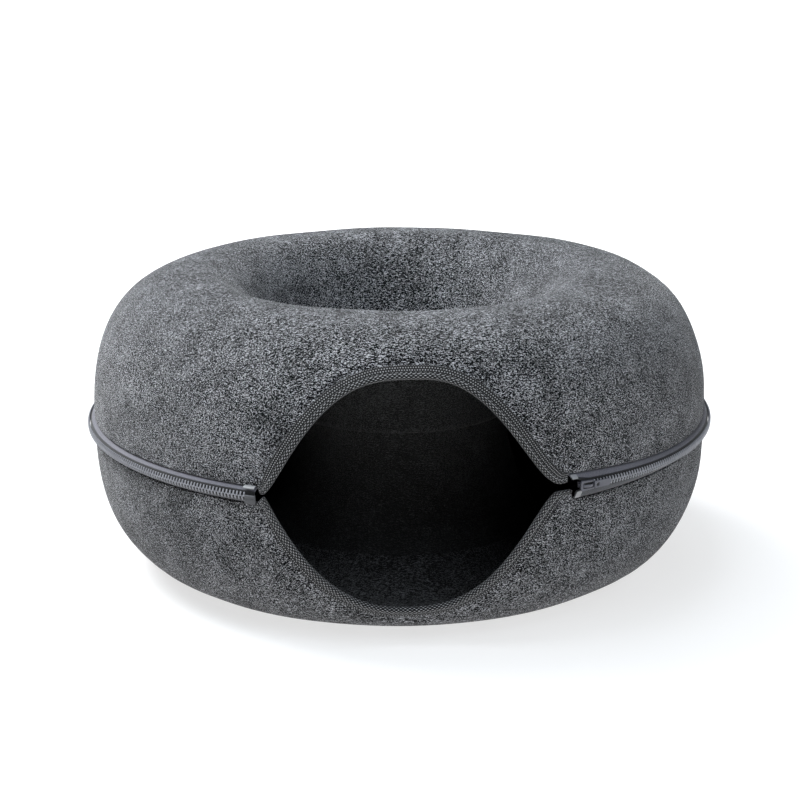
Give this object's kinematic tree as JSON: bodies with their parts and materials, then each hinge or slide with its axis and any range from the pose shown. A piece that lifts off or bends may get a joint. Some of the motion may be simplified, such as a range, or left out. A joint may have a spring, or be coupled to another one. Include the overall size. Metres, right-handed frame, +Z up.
{
  "type": "ring-shaped felt cat cave",
  "caption": "Doughnut-shaped felt cat tunnel with an open middle, an eye-shaped bound doorway and a zip round the outside that joins its upper and lower halves.",
  "frame": {"origin": "under the middle of the bounding box, on the surface that the part stands on", "axes": "+Z up, +X to the right as one looks in at the door, which faces -Y"},
  "size_m": [0.5093, 0.4906, 0.2362],
  "materials": {
    "felt": "pressed heathered grey felt",
    "binding": "woven dark grey tape",
    "zip_tape": "woven grey tape",
    "teeth": "grey coil teeth",
    "retainer": "moulded grey plastic",
    "film": "pale translucent film pressed on tape",
    "slider": "grey painted metal"
  },
  "bodies": {
    "root": {"upper_shell": "felt", "lower_shell": "felt", "upper_binding": "binding", "lower_binding": "binding", "zip_tape_upper": "zip_tape", "zip_tape_lower": "zip_tape", "zip_teeth_upper": "teeth", "zip_teeth_lower": "teeth", "retainer_box": "retainer", "end_film_upper_left": "film", "end_film_upper_right": "film", "end_film_lower_right": "film", "slider": "slider", "pull_tab": "slider"}
  },
  "joints": []
}
